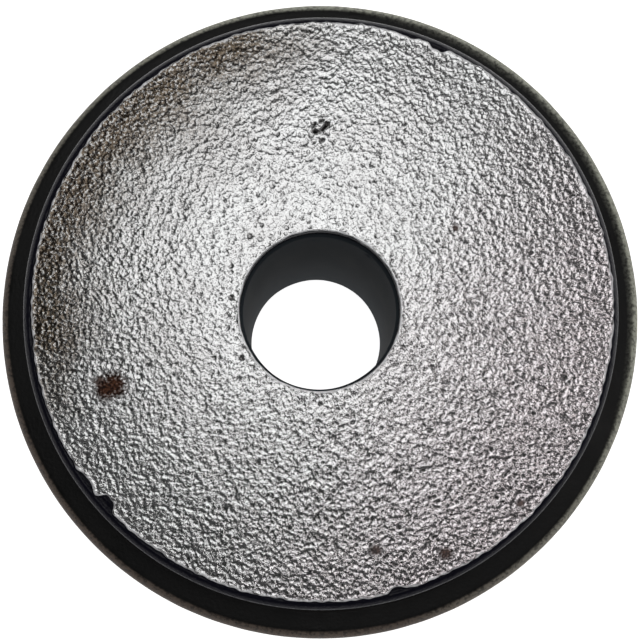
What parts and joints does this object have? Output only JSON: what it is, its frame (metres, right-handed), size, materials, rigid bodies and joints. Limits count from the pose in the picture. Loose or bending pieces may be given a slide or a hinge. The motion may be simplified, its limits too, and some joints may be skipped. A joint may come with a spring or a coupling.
{
  "type": "magnet fishing magnet",
  "caption": "Thick round fishing magnet: black ferrite rings between steel plates, with a rough silver face and a lined through-bore for the rope.",
  "frame": {"origin": "centre of the underside, which is the holding face", "axes": "+Z runs along the bore, from the holding face up to the rough silver face of the yoke plate; X and Y are any two directions across the round disc"},
  "size_m": [0.12, 0.12, 0.0336],
  "materials": {
    "bright_steel": "satin",
    "pole_steel": "satin",
    "ferrite": "satin",
    "adhesive": "satin",
    "sleeve_plastic": "satin",
    "gap_brass": "satin",
    "potting_resin": "gloss"
  },
  "bodies": {
    "root": {"yoke_plate": "bright_steel", "pole_tube": "pole_steel", "bore_sleeve": "sleeve_plastic", "ferrite_ring_upper": "ferrite", "ferrite_ring_lower": "ferrite", "adhesive_film_upper": "adhesive", "adhesive_film_middle": "adhesive", "adhesive_film_lower": "adhesive", "lower_pole_plate": "pole_steel", "gap_ring": "gap_brass", "gap_potting": "potting_resin", "edge_seal_upper": "adhesive", "edge_seal_lower": "adhesive"}
  },
  "joints": []
}
